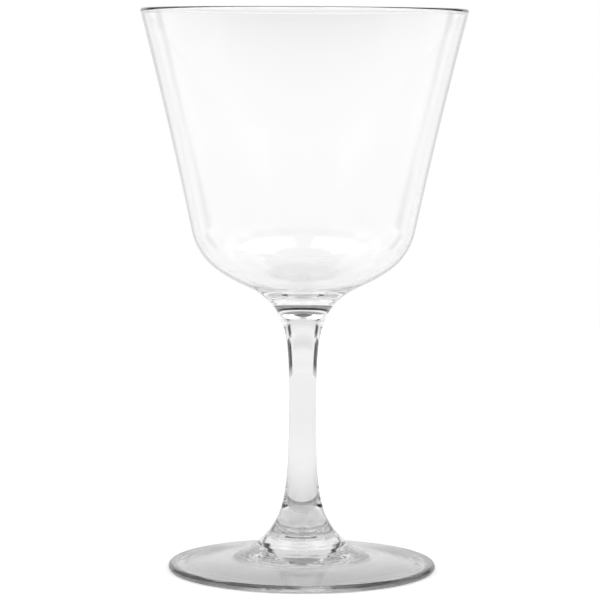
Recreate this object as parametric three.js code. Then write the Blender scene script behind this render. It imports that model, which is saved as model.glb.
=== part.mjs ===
// Three-piece cocktail glass: a blown bowl, a drawn stem and a foot, welded end to end.
// Millimetres and degrees, +Z up. The origin is the middle of the ring that the foot rests on.
import * as THREE from 'three';

// Driving dimensions of the whole glass
const overallHeight = 138;
const segments = 64;

// Driving dimensions of the bowl
const bowlHeight = 75.7;
const rimDiameter = 80;
const rimWall = 1.3;
const shoulderDiameter = 54.8;
const shoulderWall = 1.1;
const shoulderLean = 11.9;
const shoulderRadius = 15.65;
const undersideRadius = 35.7;
const undersideSlope = 24;
const floorThickness = 1;
const neckRootDiameter = 29.7;
const neckLength = 8.35;

// Driving dimension of the stem, at the slimmest that the two flares draw out to
const stemDiameter = 6.62;

// Driving dimensions of the foot
const footHeight = 13;
const footDiameter = 66;
const footEdge = 1.8;
const footSlope = 7;
const instepDiameter = 27.6;
const instepSlope = 30.6;
const instepRadius = 9;
const restWidth = 1.2;
const hollowDepth = 2.8;

const radians = THREE.MathUtils.degToRad;
const point = (r, z) => new THREE.Vector2(r, z);

// Heights of the two welds, which the pieces on both sides share
const footWeld = footHeight;
const bowlWeld = overallHeight - bowlHeight;

// Points spaced evenly along a stretch, from the share 0 to the share 1 of its length.
function stretch(steps, at) {
  return Array.from({ length: steps + 1 }, (unused, i) => at(i / steps));
}

// Arc about a centre, with both angles measured from the horizontal.
function arc(centre, radius, start, end, steps) {
  return stretch(steps, (share) => {
    const angle = THREE.MathUtils.lerp(start, end, share);
    return point(centre.x + radius * Math.cos(angle), centre.y + radius * Math.sin(angle));
  });
}

// Rounded edge of the foot, which stands on the table, and the sloping top of the disc inside it.
const edgeCentre = point((footDiameter - footEdge) / 2, footEdge / 2);
const topAngle = Math.PI / 2 - radians(footSlope);
const instepAngle = Math.PI / 2 - radians(instepSlope);
const edgeTop = arc(edgeCentre, footEdge / 2, topAngle, topAngle, 1)[0];

// Instep: a hollow arc that turns from the slope of the disc to the slope of the flare.
const instepEnd = instepDiameter / 2 + instepRadius * (Math.cos(instepAngle) - Math.cos(topAngle));
const instepFoot = edgeTop.y + (edgeTop.x - instepEnd) * Math.tan(radians(footSlope));
const instepCentre = point(
  instepEnd + instepRadius * Math.cos(topAngle),
  instepFoot + instepRadius * Math.sin(topAngle),
);
const instepHeight = instepCentre.y - instepRadius * Math.sin(instepAngle);

// Root of the neck: the underside of the bowl ends there, and the upper flare begins.
const neckRoot = point(neckRootDiameter / 2, bowlWeld + neckLength);

// Hot glass drawn out between two bodies thins by the same share in each millimetre, so each flare
// falls off exponentially from the slope of the body that it leaves.
const stemRadius = stemDiameter / 2;
const neckFall = (neckRoot.x - stemRadius) * Math.tan(radians(undersideSlope));
const instepFall = (instepDiameter / 2 - stemRadius) * Math.tan(radians(instepSlope));

function drawnRadius(z) {
  const upper = (neckRoot.x - stemRadius) * Math.exp((z - neckRoot.y) / neckFall);
  const lower = (instepDiameter / 2 - stemRadius) * Math.exp((instepHeight - z) / instepFall);
  return stemRadius + upper + lower;
}

function drawnStretch(from, to, steps, spacing = (share) => share) {
  return stretch(steps, (share) => {
    const z = THREE.MathUtils.lerp(from, to, spacing(share));
    return point(drawnRadius(z), z);
  });
}

// Underside of the bowl: a shallow arc that leaves the neck at its slope.
const neckRootAngle = radians(undersideSlope) - Math.PI / 2;
const undersideCentre = point(
  neckRoot.x - undersideRadius * Math.cos(neckRootAngle),
  neckRoot.y - undersideRadius * Math.sin(neckRootAngle),
);

// Shoulder: a tighter arc that touches the underside inside it and turns up into the side wall.
const leanAngle = -radians(shoulderLean);
const shoulderReach = undersideRadius - shoulderRadius;
const shoulderAcross = shoulderDiameter / 2 - shoulderRadius * Math.cos(leanAngle) - undersideCentre.x;
const undersideEndAngle = -Math.acos(shoulderAcross / shoulderReach);
const shoulderCentre = point(
  undersideCentre.x + shoulderAcross,
  undersideCentre.y + shoulderReach * Math.sin(undersideEndAngle),
);
const shoulderTop = shoulderCentre.y + shoulderRadius * Math.sin(leanAngle);

// Side wall: it leaves the shoulder at its lean and flares a little more all the way up to the lip.
const lipCentre = point((rimDiameter - rimWall) / 2, overallHeight - rimWall / 2);
const wallRise = lipCentre.y - shoulderTop;
const startSlope = Math.tan(radians(shoulderLean));
const flare = (rimDiameter - shoulderDiameter) / 2 - startSlope * wallRise;
const rimLean = Math.atan(startSlope + (2 * flare) / wallRise);
const wallEnd = 1 - (rimWall / 2) * (Math.sin(rimLean) / wallRise);

// Point of the side wall at a share of its rise, set in from the outside by a depth of glass.
function wallPoint(share, depth) {
  const lean = Math.atan(startSlope + (2 * flare * share) / wallRise);
  const r = shoulderDiameter / 2 + startSlope * wallRise * share + flare * share * share;
  const z = shoulderTop + wallRise * share;
  return point(r - depth * Math.cos(lean), z + depth * Math.sin(lean));
}

// Floor inside: an arc that is level on the axis and runs into the inside of the shoulder.
const floorHeight = undersideCentre.y - undersideRadius + floorThickness;
const innerShoulder = shoulderRadius - shoulderWall;
const floorDrop = shoulderCentre.y - floorHeight;
const floorRadius =
  (shoulderCentre.x ** 2 + floorDrop ** 2 - innerShoulder ** 2) / (2 * (floorDrop - innerShoulder));
const floorCentre = point(0, floorHeight + floorRadius);
const floorEndAngle = Math.atan2(shoulderCentre.y - floorCentre.y, shoulderCentre.x);

// Neighbouring stretches share their end points, so every stretch after the first drops its own start.
function join(...stretches) {
  return stretches.flatMap((points, i) => (i === 0 ? points : points.slice(1)));
}

// Turns a profile about the Z axis. It runs from the axis, out and up the outside, back to the axis.
function turned(name, profile) {
  const geometry = new THREE.LatheGeometry(profile, segments);
  geometry.rotateX(Math.PI / 2);
  const clearGlass = new THREE.MeshStandardMaterial({
    color: 0xf1f4f4,
    roughness: 0.04,
    metalness: 0,
    transparent: true,
    opacity: 0.35,
  });
  const mesh = new THREE.Mesh(geometry, clearGlass);
  mesh.name = name;
  return mesh;
}

// Bowl: the weld face, the neck, the outside up to the lip, and the inside down to the floor.
function makeBowl() {
  const neck = drawnStretch(bowlWeld, neckRoot.y, 6);
  const underside = arc(undersideCentre, undersideRadius, neckRootAngle, undersideEndAngle, 3);
  const shoulder = arc(shoulderCentre, shoulderRadius, undersideEndAngle, leanAngle, 7);
  const outside = stretch(6, (share) => wallPoint(share * wallEnd, 0));
  const outerLip = arc(lipCentre, rimWall / 2, -rimLean, Math.PI / 2, 4);
  const innerLip = arc(lipCentre, rimWall / 2, Math.PI / 2, Math.PI - rimLean, 3);
  const inside = stretch(6, (share) => {
    const up = (1 - share) * wallEnd;
    return wallPoint(up, THREE.MathUtils.lerp(shoulderWall, rimWall, up));
  });
  const innerTurn = arc(shoulderCentre, innerShoulder, leanAngle, floorEndAngle, 6);
  const floor = arc(floorCentre, floorRadius, floorEndAngle, -Math.PI / 2, 6);
  const weld = [point(0, bowlWeld), neck[0]];
  const outer = join(weld, neck, underside, shoulder, outside, outerLip);
  return turned('bowl', join(outer, innerLip, inside, innerTurn, floor));
}

// Stem: both weld faces and the waisted side between them, with closer points towards the flares.
function makeStem() {
  const side = drawnStretch(footWeld, bowlWeld, 18, (share) => (1 - Math.cos(Math.PI * share)) / 2);
  const bottom = [point(0, footWeld), side[0]];
  const top = [side.at(-1), point(0, bowlWeld)];
  return turned('stem', join(bottom, side, top));
}

// Foot: the hollow underside, the rest ring, the edge, the disc, the instep and the lower flare.
function makeFoot() {
  const hollowRadius = edgeCentre.x - restWidth;
  const capRadius = (hollowRadius ** 2 + hollowDepth ** 2) / (2 * hollowDepth);
  const capCentre = point(0, hollowDepth - capRadius);
  const capAngle = Math.asin(hollowRadius / capRadius);
  const hollow = arc(capCentre, capRadius, Math.PI / 2, Math.PI / 2 - capAngle, 6);
  const rest = [hollow.at(-1), point(edgeCentre.x, 0)];
  const edge = arc(edgeCentre, footEdge / 2, -Math.PI / 2, topAngle, 7);
  const instep = arc(instepCentre, instepRadius, topAngle + Math.PI, instepAngle + Math.PI, 4);
  const disc = [edge.at(-1), instep[0]];
  const flareSide = drawnStretch(instepHeight, footWeld, 8);
  const top = [flareSide.at(-1), point(0, footWeld)];
  return turned('foot', join(hollow, rest, edge, disc, instep, flareSide, top));
}

const cocktailGlass = new THREE.Group();
cocktailGlass.add(makeFoot(), makeStem(), makeBowl());
export default cocktailGlass;
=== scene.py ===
import math

import bmesh
import bpy
from mathutils import Matrix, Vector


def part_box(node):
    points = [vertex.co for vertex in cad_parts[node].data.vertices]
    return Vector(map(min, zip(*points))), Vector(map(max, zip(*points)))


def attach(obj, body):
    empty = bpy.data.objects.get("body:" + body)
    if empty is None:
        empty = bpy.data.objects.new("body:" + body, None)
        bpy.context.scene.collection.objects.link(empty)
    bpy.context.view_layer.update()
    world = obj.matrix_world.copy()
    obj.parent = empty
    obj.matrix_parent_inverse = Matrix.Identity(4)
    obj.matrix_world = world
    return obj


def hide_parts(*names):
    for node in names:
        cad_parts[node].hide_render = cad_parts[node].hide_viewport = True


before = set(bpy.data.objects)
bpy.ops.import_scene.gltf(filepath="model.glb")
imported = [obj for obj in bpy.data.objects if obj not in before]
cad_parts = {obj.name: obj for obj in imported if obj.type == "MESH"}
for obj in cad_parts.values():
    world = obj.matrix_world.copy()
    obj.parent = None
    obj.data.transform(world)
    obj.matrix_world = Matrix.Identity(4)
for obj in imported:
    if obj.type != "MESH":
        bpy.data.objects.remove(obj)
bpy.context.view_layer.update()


# Bowl
# The bowl is blown from one gather of clear, colourless glass in a turning mould, so that it is round
# and seamless. Its lip is melted round in a flame. The short neck below its floor is drawn out hot and
# is welded to the stem.

bowl_low, bowl_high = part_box("bowl")
bowl_weld = bowl_low.z
rim_height = bowl_high.z
rim_radius = bowl_high.x
rim_wall = 0.0013
shoulder_outside = 0.0274
shoulder_wall = 0.0011
shoulder_lean = math.radians(11.9)
shoulder_bend = 0.01565
underside_bend = 0.0357
underside_slope = math.radians(24)
floor_thickness = 0.001
neck_root = 0.01485
neck_length = 0.00835
stem_radius = 0.00331

turning_steps = 256
neck_steps = 72
underside_steps = 16
bend_steps = 32
wall_steps = 40
polish_steps = 4
lip_steps = 24


def along(steps, place):
    """Points at even shares of a stretch, from its start to its end."""
    return [place(step / steps) for step in range(steps + 1)]


def between(start, end, share):
    return start + (end - start) * share


def closer_to_ends(share):
    return (1 - math.cos(math.pi * share)) / 2


def arc(centre, radius, start, end, steps):
    """Points (radius, height) on an arc about a centre, with angles from the horizontal."""
    angles = along(steps, lambda share: between(start, end, share))
    return [(centre[0] + radius * math.cos(a), centre[1] + radius * math.sin(a)) for a in angles]


def joined(*stretches):
    """One outline from stretches that share their end points."""
    points = list(stretches[0])
    for stretch in stretches[1:]:
        points += stretch[1:]
    return points


# Hot glass that is drawn out thins by an equal share in each millimetre, so the flare below the bowl
# falls off exponentially from the slope of the bowl's underside.
neck_top = bowl_weld + neck_length
neck_fall = (neck_root - stem_radius) * math.tan(underside_slope)


def upper_flare(height):
    return (neck_root - stem_radius) * math.exp((height - neck_top) / neck_fall)


def neck_point(share):
    height = between(bowl_weld, neck_top, closer_to_ends(share))
    return (stem_radius + upper_flare(height), height)


# The underside is a shallow arc. The shoulder is a tighter arc that touches it from inside.
underside_start = underside_slope - math.pi / 2
underside_centre = (
    neck_root - underside_bend * math.cos(underside_start),
    neck_top - underside_bend * math.sin(underside_start),
)
bend_difference = underside_bend - shoulder_bend
shoulder_across = shoulder_outside - shoulder_bend * math.cos(shoulder_lean) - underside_centre[0]
underside_end = -math.acos(shoulder_across / bend_difference)
shoulder_centre = (
    underside_centre[0] + shoulder_across,
    underside_centre[1] + bend_difference * math.sin(underside_end),
)
shoulder_top = shoulder_centre[1] - shoulder_bend * math.sin(shoulder_lean)

# The side wall leaves the shoulder at its lean and flares a little more all the way up to the lip.
lip_centre = (rim_radius - rim_wall / 2, rim_height - rim_wall / 2)
wall_rise = lip_centre[1] - shoulder_top
wall_slope = math.tan(shoulder_lean)
wall_flare = rim_radius - shoulder_outside - wall_slope * wall_rise
rim_lean = math.atan(wall_slope + 2 * wall_flare / wall_rise)
wall_end = 1 - rim_wall / 2 * math.sin(rim_lean) / wall_rise


def wall_point(share, depth):
    """A point of the side wall, at a share of its rise and a depth of glass in from the outside."""
    lean = math.atan(wall_slope + 2 * wall_flare * share / wall_rise)
    radius = shoulder_outside + wall_slope * wall_rise * share + wall_flare * share ** 2
    height = shoulder_top + wall_rise * share
    return (radius - depth * math.cos(lean), height + depth * math.sin(lean))


def outer_wall(steps, start, end):
    """The outside of the wall between two shares of its way up to the lip."""
    return along(steps, lambda share: wall_point(between(start, end, share) * wall_end, 0))


def inner_wall_point(share):
    up = (1 - share) * wall_end
    return wall_point(up, between(shoulder_wall, rim_wall, up))


def inner_wall(steps, start, end):
    """The inside of the wall between two shares of its way down from the lip."""
    return along(steps, lambda share: inner_wall_point(between(start, end, share)))


# The floor inside is an arc that is level on the axis and runs into the inside of the shoulder.
floor_height = underside_centre[1] - underside_bend + floor_thickness
inner_bend = shoulder_bend - shoulder_wall
floor_drop = shoulder_centre[1] - floor_height
floor_reach = shoulder_centre[0] ** 2 + floor_drop ** 2 - inner_bend ** 2
floor_bend = floor_reach / (2 * (floor_drop - inner_bend))
floor_centre = (0, floor_height + floor_bend)
floor_start = math.atan2(shoulder_centre[1] - floor_centre[1], shoulder_centre[0])


def node(tree, kind, inputs=None, **settings):
    """Adds a shader node. Each input is a plain value or the output of another node."""
    made = tree.nodes.new("ShaderNode" + kind)
    for setting, value in settings.items():
        setattr(made, setting, value)
    for socket, value in (inputs or {}).items():
        if isinstance(value, bpy.types.NodeSocket):
            tree.links.new(value, made.inputs[socket])
        else:
            made.inputs[socket].default_value = value
    return made


def rescaled(tree, value, low, high, new_low=0.0, new_high=1.0):
    """A value moved from one range to another and held at the ends."""
    limits = {"From Min": low, "From Max": high, "To Min": new_low, "To Max": new_high}
    return node(tree, "MapRange", {"Value": value, **limits}).outputs[0]


def ramp(tree, value, stops):
    """Tones from black to white at places from 0 to 1."""
    made = node(tree, "ValToRGB", {0: value})
    bands = made.color_ramp.elements
    for number, (place, tone) in enumerate(stops):
        band = bands[number] if number < 2 else bands.new(place)
        band.position = place
        band.color = (tone, tone, tone, 1)
    return made.outputs[0]


glass_ior = 1.52
film_roughness = 0.012


def clear_glass(name, edge_tones=None, grain=None, grain_depth=0.0):
    """Clear glass with a thin film, often edge tones of grey and painted shade, and a grain from how it was
    drawn.
    """
    material = bpy.data.materials.new(name)
    material.use_nodes = True
    tree = material.node_tree
    shader = tree.nodes["Principled BSDF"]
    shader.inputs["IOR"].default_value = glass_ior
    shader.inputs["Transmission Weight"].default_value = 1
    shader.inputs["Base Color"].default_value = (1, 1, 1, 1)
    place = node(tree, "TexCoord").outputs["Object"]
    film = node(tree, "TexNoise", {"Vector": place, "Scale": 70.0, "Detail": 3.0})
    haze = rescaled(tree, film.outputs[0], 0.45, 0.75, 0.0, film_roughness)
    tree.links.new(haze, shader.inputs["Roughness"])
    # Edge tones darken the glass seen edge on: partly the grey of a long path through glass, partly painted
    # shade for the dark surroundings that its edges show.
    if edge_tones:
        edge_on = node(tree, "LayerWeight", {"Blend": 0.5}).outputs["Facing"]
        tree.links.new(ramp(tree, edge_on, edge_tones), shader.inputs["Base Color"])
    if grain:
        drawn = node(tree, "Mapping", {"Vector": place, "Scale": grain})
        cords = node(tree, "TexNoise", {"Vector": drawn.outputs[0], "Scale": 1.0, "Detail": 2.0})
        bump = node(tree, "Bump", {"Height": cords.outputs[0], "Strength": 1.0, "Distance": grain_depth})
        tree.links.new(bump.outputs[0], shader.inputs["Normal"])
    return material


# Inside a weld the glass is one body, so the faces that touch there are left fully clear.
weld_glass = bpy.data.materials.new("weld_glass")
weld_glass.use_nodes = True
weld_glass.node_tree.nodes.clear()
weld_clear = node(weld_glass.node_tree, "BsdfTransparent")
node(weld_glass.node_tree, "OutputMaterial", {"Surface": weld_clear.outputs[0]})

nearest_to_axis = 1e-9
sharp_edge = math.radians(40)


def turned(name, stretches):
    """Turns stretches of outline, from axis to axis and each with its glass, into one closed mesh."""
    outline = joined(*[points for points, glass in stretches])
    glasses = [glass for points, glass in stretches for step in points[1:]]
    kinds = list(dict.fromkeys(glasses))
    sweep = [2 * math.pi * step / turning_steps for step in range(turning_steps)]
    places = []
    rings = []
    for radius, height in outline:
        turns = sweep if radius > nearest_to_axis else [0]
        rings.append([len(places) + step % len(turns) for step in range(turning_steps + 1)])
        places += [(radius * math.cos(turn), radius * math.sin(turn), height) for turn in turns]
    faces = []
    slots = []
    for low, high, glass in zip(rings, rings[1:], glasses):
        for step in range(turning_steps):
            corners = [low[step], low[step + 1], high[step + 1], high[step]]
            faces.append(list(dict.fromkeys(corners)))
            slots.append(kinds.index(glass))
    mesh = bpy.data.meshes.new(name)
    mesh.from_pydata(places, [], faces)
    mesh.polygons.foreach_set("material_index", slots)
    mesh.polygons.foreach_set("use_smooth", [True] * len(faces))
    mesh.set_sharp_from_angle(angle=sharp_edge)
    for glass in kinds:
        mesh.materials.append(glass)
    piece = bpy.data.objects.new(name, mesh)
    bpy.context.scene.collection.objects.link(piece)
    return piece


# Blowing stretches any unevenness in the gather into faint upright cords.
bowl_grain = (140, 140, 9)
bowl_grain_depth = 0.000004
# Darker toward the outline: partly the grey of glass, partly painted shade for the dark room seen along it.
bowl_edge_tones = [
    (0.0, 1.0), (0.45, 1.0), (0.56, 0.965), (0.7, 0.92),
    (0.77, 0.75), (0.81, 0.4), (0.86, 0.2), (1.0, 0.1),
]
bowl_glass = clear_glass("bowl_glass", bowl_edge_tones, bowl_grain, bowl_grain_depth)
inner_glass = clear_glass("inner_glass", None, bowl_grain, bowl_grain_depth)

# The flame that melts the lip round polishes a small share of the wall below it too.
# That share and the lip carry darker edge tones, painted shade for the dark band along the rim.
polished = 0.012
lip_tones = [(0.0, 1.0), (0.5, 0.97), (0.65, 0.8), (0.78, 0.4), (1.0, 0.1)]
lip_glass = clear_glass("lip_glass", lip_tones, bowl_grain, bowl_grain_depth)

bowl = turned("blown_bowl", [
    ([(0, bowl_weld), neck_point(0)], weld_glass),
    (along(neck_steps, neck_point), inner_glass),
    (arc(underside_centre, underside_bend, underside_start, underside_end, underside_steps), bowl_glass),
    (arc(shoulder_centre, shoulder_bend, underside_end, -shoulder_lean, bend_steps), bowl_glass),
    (outer_wall(wall_steps, 0, 1 - polished), bowl_glass),
    (outer_wall(polish_steps, 1 - polished, 1), lip_glass),
    (arc(lip_centre, rim_wall / 2, -rim_lean, math.pi - rim_lean, lip_steps), lip_glass),
    (inner_wall(polish_steps, 0, polished), lip_glass),
    (inner_wall(wall_steps, polished, 1), inner_glass),
    (arc(shoulder_centre, inner_bend, -shoulder_lean, floor_start, bend_steps), inner_glass),
    (arc(floor_centre, floor_bend, floor_start, -math.pi / 2, bend_steps), inner_glass),
])
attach(bowl, "root")
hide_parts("bowl")


# Stem
# The stem is a solid rod of the same glass, drawn out hot until its waist is slimmer than its ends.
# Its upper end is welded to the neck of the bowl, and its lower end to the top of the foot.

foot_low, foot_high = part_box("foot")
foot_weld = foot_high.z
foot_radius = foot_high.x
foot_edge = 0.0018
foot_slope = math.radians(7)
instep_radius = 0.0138
instep_slope = math.radians(30.6)
instep_bend = 0.009
stem_steps = 144

# The lower flare falls off from the slope of the foot's instep, so the foot's outline is found first.
edge_centre = (foot_radius - foot_edge / 2, foot_edge / 2)
top_angle = math.pi / 2 - foot_slope
instep_angle = math.pi / 2 - instep_slope
edge_top = arc(edge_centre, foot_edge / 2, top_angle, top_angle, 1)[0]
instep_end = instep_radius + instep_bend * (math.cos(instep_angle) - math.cos(top_angle))
instep_low = edge_top[1] + (edge_top[0] - instep_end) * math.tan(foot_slope)
instep_centre = (
    instep_end + instep_bend * math.cos(top_angle),
    instep_low + instep_bend * math.sin(top_angle),
)
instep_height = instep_centre[1] - instep_bend * math.sin(instep_angle)
instep_fall = (instep_radius - stem_radius) * math.tan(instep_slope)


def drawn_radius(height):
    lower_flare = (instep_radius - stem_radius) * math.exp((instep_height - height) / instep_fall)
    return stem_radius + upper_flare(height) + lower_flare


def stem_point(share):
    height = between(foot_weld, bowl_weld, closer_to_ends(share))
    return (drawn_radius(height), height)


# Drawing leaves very fine lines along the rod.
stem_grain = (900, 900, 14)
stem_grain_depth = 0.0000006
# The rod's tone is the grey of its glass; its darker outline is partly painted shade for the dark room seen
# in its sides.
stem_edge_tones = [(0.0, 0.89), (0.3, 0.89), (0.6, 0.86), (0.78, 0.76), (0.87, 0.5), (1.0, 0.2)]
stem_glass = clear_glass("stem_glass", stem_edge_tones, stem_grain, stem_grain_depth)
stem = turned("drawn_stem", [
    ([(0, foot_weld), stem_point(0)], weld_glass),
    (along(stem_steps, stem_point), stem_glass),
    ([stem_point(1), (0, bowl_weld)], weld_glass),
])
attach(stem, "root")
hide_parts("stem")


# Foot
# The foot is a disc that is shaped with a tool from a gather at the end of the stem, spinning hot. It is
# hollowed below, so that it stands on a narrow ring, which wears matt on the table.

rest_width = 0.0012
hollow_depth = 0.0028
hollow_radius = edge_centre[0] - rest_width
hollow_bend = (hollow_radius ** 2 + hollow_depth ** 2) / (2 * hollow_depth)
hollow_angle = math.asin(hollow_radius / hollow_bend)
hollow_centre = (0, hollow_depth - hollow_bend)
hollow_end = math.pi / 2 - hollow_angle

hollow_steps = 48
rest_steps = 4
rim_steps = 16
crest_steps = 10
disc_steps = 48
flare_steps = 128


def disc_point(share):
    return (between(edge_top[0], instep_end, share), between(edge_top[1], instep_low, share))


# The tool that presses the foot out of the spinning gather leaves faint rings round its instep.
ripple_depth = 0.000018
ripple_width = 0.0011
ripple_end = 0.017
weld_radius = drawn_radius(foot_weld)


def rippled(points):
    """The same points with the tool's rings, which fade out at the weld and on the disc."""
    made = []
    for radius, height in points:
        from_weld = max(0, radius - weld_radius) / ripple_width
        from_disc = max(0, ripple_end - radius) / ripple_width
        wave = math.sin(2 * math.pi * (radius - weld_radius) / ripple_width)
        made.append((radius, height + ripple_depth * min(1, from_weld, from_disc) * wave))
    return made


def flare_point(share):
    height = between(instep_height, foot_weld, closer_to_ends(share))
    return (drawn_radius(height), height)


foot_grain = (160, 160, 160)
foot_grain_depth = 0.000004
# Darker toward the outline: partly the grey of glass, partly painted shade for dark surroundings seen in its
# edges.
foot_edge_tones = [(0.0, 0.9), (0.5, 0.9), (0.78, 0.84), (0.87, 0.6), (1.0, 0.3)]
foot_glass = clear_glass("foot_glass", foot_edge_tones, foot_grain, foot_grain_depth)

# The rim of the disc shows the whole width of the glass behind it, so it looks darker.
# Its tone also holds painted shade, for the shade on the table under the edge of the foot.
foot_rim_tones = [(0.0, 0.55), (0.5, 0.55), (0.87, 0.4), (1.0, 0.2)]
foot_rim_glass = clear_glass("foot_rim_glass", foot_rim_tones, foot_grain, foot_grain_depth)

# The edge is melted round by hand, so its crest is uneven. The dark streaks on its crest are painted shade,
# a noise pattern in the colour of the glass.
crest_angle = math.radians(10)
crest_shade_tones = [(0.0, 0.02), (0.48, 0.07), (0.56, 0.45), (1.0, 0.6)]
crest_glass = clear_glass("crest_glass", None, foot_grain, foot_grain_depth)
crest = crest_glass.node_tree
crest_place = node(crest, "TexCoord").outputs["Object"]
painted_dark_streaks = node(crest, "TexNoise", {"Vector": crest_place, "Scale": 60.0, "Detail": 4.0})
painted_streak_tones = ramp(crest, painted_dark_streaks.outputs[0], crest_shade_tones)
crest.links.new(painted_streak_tones, crest.nodes["Principled BSDF"].inputs["Base Color"])


def maths(tree, operation, first, second=0.0):
    return node(tree, "Math", {0: first, 1: second}, operation=operation).outputs[0]


# The hollow is pressed into the hot glass, which leaves uneven rings, deepest by its edge.
ring_height = 0.000056
ring_depths = [
    (0.0, 0.25), (0.4, 0.25), (0.55, 0.06), (0.75, 0.06), (0.84, 0.35), (0.92, 1.0), (1.0, 1.0),
]
hollow_glass = clear_glass("hollow_glass", foot_edge_tones)
hollow = hollow_glass.node_tree
hollow_place = node(hollow, "TexCoord").outputs["Object"]
press_rings = node(
    hollow, "TexWave", {"Vector": hollow_place, "Scale": 130.0, "Distortion": 6.0, "Detail": 2.0},
    wave_type="RINGS", rings_direction="Z",
)
from_middle = node(hollow, "VectorMath", {0: hollow_place}, operation="LENGTH").outputs["Value"]
outward = rescaled(hollow, from_middle, 0.0, foot_radius)
uneven = maths(hollow, "MULTIPLY", press_rings.outputs[1], ramp(hollow, outward, ring_depths))
ring_bump = node(hollow, "Bump", {"Height": uneven, "Strength": 1.0, "Distance": ring_height})
hollow.links.new(ring_bump.outputs[0], hollow.nodes["Principled BSDF"].inputs["Normal"])

# The ring that it stands on is worn matt, with fine scratches and patches of grime.
scratch_depth = 0.00001
least_matt = 0.15
most_matt = 0.6
grime_tones = [(0.0, 0.05), (0.46, 0.1), (0.54, 0.7), (1.0, 0.9)]
worn_glass = bpy.data.materials.new("worn_glass")
worn_glass.use_nodes = True
worn = worn_glass.node_tree
worn_shader = worn.nodes["Principled BSDF"]
worn_shader.inputs["IOR"].default_value = glass_ior
worn_shader.inputs["Transmission Weight"].default_value = 1
worn_place = node(worn, "TexCoord").outputs["Object"]
scratches = node(worn, "TexNoise", {"Vector": worn_place, "Scale": 900.0, "Detail": 4.0}).outputs[0]
patches = node(worn, "TexNoise", {"Vector": worn_place, "Scale": 70.0, "Detail": 3.0}).outputs[0]
worn.links.new(ramp(worn, patches, grime_tones), worn_shader.inputs["Base Color"])
worn.links.new(rescaled(worn, scratches, 0.35, 0.65, least_matt, most_matt), worn_shader.inputs["Roughness"])
worn_bump = node(worn, "Bump", {"Height": scratches, "Strength": 1.0, "Distance": scratch_depth})
worn.links.new(worn_bump.outputs[0], worn_shader.inputs["Normal"])

instep_arc = arc(instep_centre, instep_bend, top_angle + math.pi, instep_angle + math.pi, bend_steps)
foot = turned("tooled_foot", [
    (arc(hollow_centre, hollow_bend, math.pi / 2, hollow_end, hollow_steps), hollow_glass),
    (along(rest_steps, lambda share: (between(hollow_radius, edge_centre[0], share), 0)), worn_glass),
    (arc(edge_centre, foot_edge / 2, -math.pi / 2, crest_angle, rim_steps), foot_rim_glass),
    (arc(edge_centre, foot_edge / 2, crest_angle, top_angle, crest_steps), crest_glass),
    (rippled(along(disc_steps, disc_point)), foot_glass),
    (rippled(instep_arc), foot_glass),
    (rippled(along(flare_steps, flare_point)), foot_glass),
    ([flare_point(1), (0, foot_weld)], weld_glass),
])
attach(foot, "root")
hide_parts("foot")


# Table
# A plain white table top, 1.2 m across, which carries the soft shadow of the glass. It shows as white to
# the camera. Through the glass it shows painted light, a glow on its paint that is brightest behind the
# middle of the foot, and painted shade, a dim ring under the edge of the foot.

table_radius = 0.6
table_steps = 96
table_gap = 0.00005
table_white = 0.9
table_to_camera = 0.4
# Painted light on the table, seen only in and through the glass: a glow by distance from a point just behind
# the middle, dimmest just inside the edge of the foot, where it is painted shade.
painted_light_behind = 0.006
table_painted_light = [
    (0.0, 0.32), (0.012, 0.3), (0.018, 0.16), (0.028, 0.06), (0.036, 0.1),
    (0.07, 0.2), (0.12, 0.26), (0.25, 0.22), (0.5, 0.235),
]

table_mesh = bpy.data.meshes.new("table_top")
table_shape = bmesh.new()
bmesh.ops.create_circle(table_shape, cap_ends=True, segments=table_steps, radius=table_radius)
table_shape.to_mesh(table_mesh)
table_shape.free()
table = bpy.data.objects.new("table_top", table_mesh)
table.location.z = foot_low.z - table_gap
bpy.context.scene.collection.objects.link(table)

table_paint = bpy.data.materials.new("table_paint")
table_paint.use_nodes = True
table_mesh.materials.append(table_paint)
paint = table_paint.node_tree
paint.nodes.clear()
path = node(paint, "LightPath").outputs
table_place = node(paint, "TexCoord").outputs["Object"]
middle = node(paint, "VectorMath", {0: table_place, 1: (0, -painted_light_behind, 0)}, operation="ADD").outputs[0]
reach = node(paint, "VectorMath", {0: middle}, operation="LENGTH").outputs["Value"]
spread = rescaled(paint, reach, 0.0, table_radius)
painted_light = ramp(paint, spread, [(distance / table_radius, tone) for distance, tone in table_painted_light])
by_glass = maths(paint, "MAXIMUM", path["Is Glossy Ray"], path["Is Transmission Ray"])
painted_light_through_glass = maths(paint, "MULTIPLY", by_glass, painted_light)
to_camera = maths(paint, "MULTIPLY", path["Is Camera Ray"], table_to_camera)
glow = maths(paint, "ADD", to_camera, painted_light_through_glass)
white = node(paint, "BsdfDiffuse", {"Color": (table_white, table_white, table_white, 1)})
shine = node(paint, "Emission", {"Strength": glow})
both = node(paint, "AddShader", {0: white.outputs[0], 1: shine.outputs[0]})
node(paint, "OutputMaterial", {"Surface": both.outputs[0]})


# Studio light
# White walls stand round the table, under a grey ceiling with a long soft box hung on each side. Behind
# the glass a dark gap on each side gives its stem two dark lines. The room behind the camera is dark.

world = bpy.data.worlds.new("studio")
bpy.context.scene.world = world
world.use_nodes = True
studio = world.node_tree
studio.nodes.clear()

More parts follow.
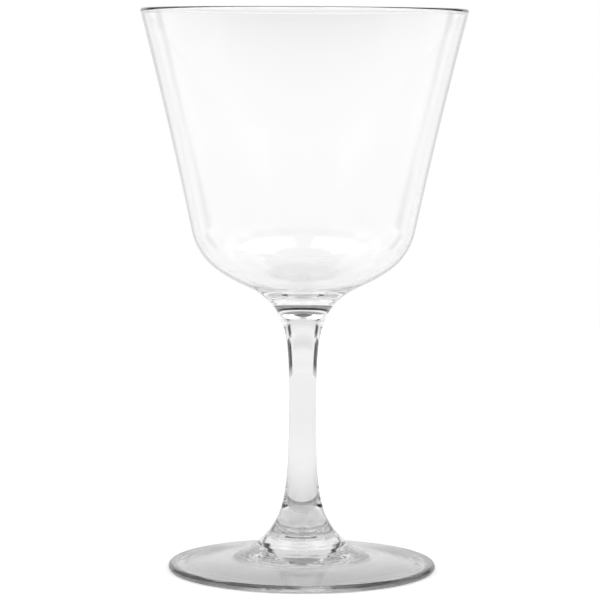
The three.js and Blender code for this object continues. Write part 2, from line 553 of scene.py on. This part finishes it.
lowest_rise = -0.2
least_level = 0.001
toward = node(studio, "SeparateXYZ", {0: node(studio, "TexCoord").outputs["Generated"]}).outputs
across_squared = maths(studio, "MULTIPLY", toward["X"], toward["X"])
away_squared = maths(studio, "MULTIPLY", toward["Y"], toward["Y"])
along_floor = maths(studio, "SQRT", maths(studio, "ADD", across_squared, away_squared))
level = maths(studio, "MAXIMUM", along_floor, least_level)
around = rescaled(studio, maths(studio, "DIVIDE", toward["Y"], level), 1.0, -1.0)
upward = rescaled(studio, toward["Z"], lowest_rise, 1.0)


def by_height(stops):
    """Tones by degrees above the horizon."""
    rises = [(math.sin(math.radians(up)), tone) for up, tone in stops]
    return ramp(studio, upward, [((rise - lowest_rise) / (1 - lowest_rise), tone) for rise, tone in rises])


def by_turn(stops):
    """Tones by degrees to the left or right, from straight behind the glass to the camera's side."""
    return ramp(studio, around, [((1 - math.cos(math.radians(turn))) / 2, tone) for turn, tone in stops])


def patch(heights, turns):
    """A patch of the surroundings, with the same one on the other side."""
    return maths(studio, "MULTIPLY", by_height(heights), by_turn(turns))


wall_tone = by_height([
    (-11, 0.99), (-4, 1.0), (12, 1.0), (20, 0.85), (36, 0.75),
    (40, 0.45), (44, 0.35), (74, 0.35), (79, 0.15),
])

# The wall straight behind the glass greys a little toward the height of the rim.
backdrop = patch(
    heights=[
        (-4.4, 0.0), (-3.4, 0.035), (-1.7, 0.0), (-0.7, 0.008), (0, 0.03),
        (0.5, 0.065), (0.9, 0.12), (2, 0.15), (5, 0.1), (9, 0.0),
    ],
    turns=[(22, 1.0), (32, 0.0)],
)

# The gap is wide at the height of the table. Above it, the gap narrows and leans toward the middle.
wide_gap = patch(
    heights=[(-5.2, 0.0), (-2.8, 1.0), (4, 1.0), (7, 0.0)],
    turns=[(34, 0.0), (38, 1.0), (62, 1.0), (72, 0.5), (86, 0.0)],
)
middle_gap = patch(
    heights=[(3, 0.0), (5, 1.0), (8.2, 1.0), (9.6, 0.0)],
    turns=[(41, 0.0), (45, 1.0), (62, 1.0), (72, 0.0)],
)
narrow_gap = patch(
    heights=[(7, 0.0), (8.5, 0.6), (9.5, 0.6), (11, 1.0), (22, 1.0), (27, 0.0)],
    turns=[(28, 0.0), (33, 1.0), (40, 1.0), (46, 0.0)],
)

# The dark room reaches lower in its two corners.
room = patch(
    heights=[(22, 0.0), (29, 0.5), (33, 1.0), (38, 1.0), (44, 0.5), (46, 0.0)],
    turns=[(108, 0.0), (116, 1.0)],
)
corners = patch(
    heights=[(5, 0.0), (8, 0.9), (16, 0.9), (18, 0.0)],
    turns=[(112, 0.0), (117, 1.0), (140, 1.0), (146, 0.0)],
)
dark = backdrop
for dark_patch in (wide_gap, middle_gap, narrow_gap, room, corners):
    dark = maths(studio, "MAXIMUM", dark, dark_patch)
walls = maths(studio, "MULTIPLY", wall_tone, maths(studio, "SUBTRACT", 1.0, dark))

soft_box_tone = 1.75
soft_box = patch(
    heights=[(44, 0.0), (46, 1.0), (70, 1.0), (73, 0.0)],
    turns=[(64, 0.0), (70, 1.0), (161, 1.0), (166, 0.0)],
)
surroundings = maths(studio, "ADD", walls, maths(studio, "MULTIPLY", soft_box, soft_box_tone))
seen_straight = node(studio, "LightPath").outputs["Is Camera Ray"]
shown = node(studio, "Mix", {0: seen_straight, 6: surroundings, 7: (1, 1, 1, 1)}, data_type="RGBA")
light = node(studio, "Background", {"Color": shown.outputs[2]})
node(studio, "OutputWorld", {"Surface": light.outputs[0]})

# Light meets many faces on its way through the glass.
glass_bounces = 24
bpy.context.scene.cycles.max_bounces = glass_bounces
bpy.context.scene.cycles.transmission_bounces = glass_bounces
bpy.context.scene.cycles.glossy_bounces = glass_bounces


# Camera
# A long lens stands in front of the glass, a little lower than its rim and a little to the left. It is
# tilted slightly down, as the photograph was taken.

camera_distance = 0.6872
camera_height = 0.1284
camera_side = -0.00077
camera_tilt = math.radians(5.1256)
camera_roll = math.radians(0.3)
focal_pixels = 2808
photo_pixels = 600
sensor_width = 36

camera_data = bpy.data.cameras.new("camera")
camera_data.sensor_width = sensor_width
camera_data.lens = focal_pixels / photo_pixels * sensor_width
camera = bpy.data.objects.new("camera", camera_data)
camera.matrix_world = (
    Matrix.Translation((camera_side, -camera_distance, camera_height))
    @ Matrix.Rotation(math.pi / 2 - camera_tilt, 4, "X")
    @ Matrix.Rotation(camera_roll, 4, "Z")
)
bpy.context.scene.collection.objects.link(camera)
bpy.context.scene.camera = camera
bpy.context.scene.view_settings.view_transform = "Standard"
